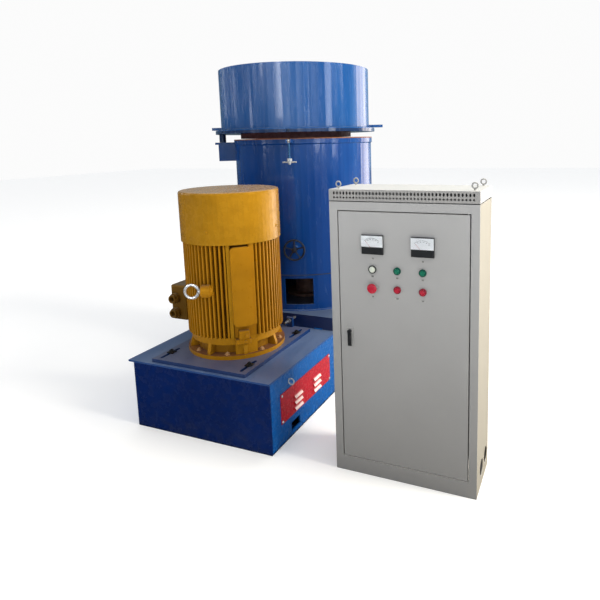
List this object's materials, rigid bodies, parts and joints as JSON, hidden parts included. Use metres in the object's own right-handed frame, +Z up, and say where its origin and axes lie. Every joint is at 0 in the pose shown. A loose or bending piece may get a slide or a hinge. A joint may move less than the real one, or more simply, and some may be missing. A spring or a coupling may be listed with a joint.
{
  "type": "plastic agglomerating and pelletizing machine",
  "caption": "Upright tank granulator with a vertical flange motor on a slotted base, a feed hopper that swings aside, and a free-standing control cabinet.",
  "frame": {"origin": "on the floor, on the axis of the tank", "axes": "+Z up; -Y is the front, where the cabinet's door and the motor face; +X to the right, towards the cabinet"},
  "size_m": [2.471, 2.2, 2.444],
  "materials": {
    "navy_paint": "gloss",
    "base_paint": "gloss",
    "tank_blue": "gloss",
    "top_paint": "worn satin",
    "guard_red": "gloss",
    "motor_yellow": "semi-gloss",
    "zinc": "bright zinc plate",
    "dark_iron": "greasy matte",
    "black_iron": "black paint",
    "worn_steel": "worn",
    "gasket": "matte",
    "oxide_primer": "matte",
    "cabinet_enamel": "fine texture",
    "galvanised": "galvanised",
    "black_plastic": "semi-gloss",
    "green_plastic": "gloss",
    "red_plastic": "gloss",
    "lamp_lens": "gloss"
  },
  "bodies": {
    "machine": {"base_floor_plate": "navy_paint", "base_front_wall": "base_paint", "base_rear_wall": "base_paint", "base_left_wall": "base_paint", "base_right_wall": "base_paint", "base_top_plate": "top_paint", "belt_guard": "guard_red", "motor_slide_plate": "top_paint", "tension_screw_left": "zinc", "tension_screw_right": "zinc", "motor_flange": "motor_yellow", "motor_frame": "motor_yellow", "motor_fan_cowl": "motor_yellow", "motor_terminal_box": "motor_yellow", "motor_lifting_eye": "zinc", "tank_stand": "navy_paint", "tank_skirt": "tank_blue", "tank_shell": "tank_blue", "tank_floor": "dark_iron", "tank_gasket": "gasket", "spindle_housing": "dark_iron", "rotor": "worn_steel", "hinge_bracket": "tank_blue", "cabinet_front_frame": "cabinet_enamel", "cabinet_left_side": "cabinet_enamel", "cabinet_right_side": "cabinet_enamel", "cabinet_back": "cabinet_enamel", "cabinet_floor": "cabinet_enamel", "cabinet_roof": "cabinet_enamel", "mounting_plate": "galvanised"},
    "hopper": {"hopper_ring": "tank_blue", "hopper_neck": "oxide_primer"},
    "front_clamp": {"clamp_bolt_front": "zinc"},
    "rear_clamp": {"clamp_bolt_rear": "zinc"},
    "wheel": {"handwheel": "black_iron"},
    "door": {"cabinet_door": "cabinet_enamel", "panel_meter_left": "black_plastic", "panel_meter_right": "black_plastic", "indicator_lamp": "lamp_lens"},
    "lock_lever": {"door_handle": "black_plastic"},
    "green_left": {"start_button_left": "green_plastic"},
    "green_right": {"start_button_right": "green_plastic"},
    "red_left": {"stop_button_left": "red_plastic"},
    "red_right": {"stop_button_right": "red_plastic"},
    "mushroom": {"emergency_stop": "red_plastic"}
  },
  "joints": [
    {"name": "hopper_swing", "type": "hinge", "parent": "machine", "child": "hopper", "pos_m": [-0.59778, -0.31866, 1.94], "axis": [0, 0, 1], "range_deg": [0, 110]},
    {"name": "front_clamp_swing", "type": "hinge", "parent": "machine", "child": "front_clamp", "pos_m": [0.20784, -0.62115, 1.875], "axis": [-0.9483, -0.3173, 0], "range_deg": [0, 180]},
    {"name": "rear_clamp_swing", "type": "hinge", "parent": "machine", "child": "rear_clamp", "pos_m": [-0.39874, 0.51965, 1.875], "axis": [0.7934, 0.6088, 0], "range_deg": [0, 180]},
    {"name": "handwheel_turn", "type": "hinge", "parent": "machine", "child": "wheel", "pos_m": [0.20807, -0.60428, 1.055], "axis": [0.3256, -0.9455, 0], "continuous": true},
    {"name": "door_swing", "type": "hinge", "parent": "machine", "child": "door", "pos_m": [1.698, -1.52, 0.8], "axis": [0, 0, 1], "range_deg": [0, 110]},
    {"name": "lever_turn", "type": "hinge", "parent": "door", "child": "lock_lever", "pos_m": [1.059, -1.53, 0.838], "axis": [0, -1, 0], "range_deg": [0, 90]},
    {"name": "green_left_press", "type": "slide", "parent": "door", "child": "green_left", "axis": [0, 1, 0], "range_m": [0, 0.004], "stiffness_N_per_m": 300, "springref_m": -0.002},
    {"name": "green_right_press", "type": "slide", "parent": "door", "child": "green_right", "axis": [0, 1, 0], "range_m": [0, 0.004], "stiffness_N_per_m": 300, "springref_m": -0.002},
    {"name": "red_left_press", "type": "slide", "parent": "door", "child": "red_left", "axis": [0, 1, 0], "range_m": [0, 0.004], "stiffness_N_per_m": 300, "springref_m": -0.002},
    {"name": "red_right_press", "type": "slide", "parent": "door", "child": "red_right", "axis": [0, 1, 0], "range_m": [0, 0.004], "stiffness_N_per_m": 300, "springref_m": -0.002},
    {"name": "mushroom_press", "type": "slide", "parent": "door", "child": "mushroom", "axis": [0, 1, 0], "range_m": [0, 0.004], "stiffness_N_per_m": 300, "springref_m": -0.002}
  ]
}
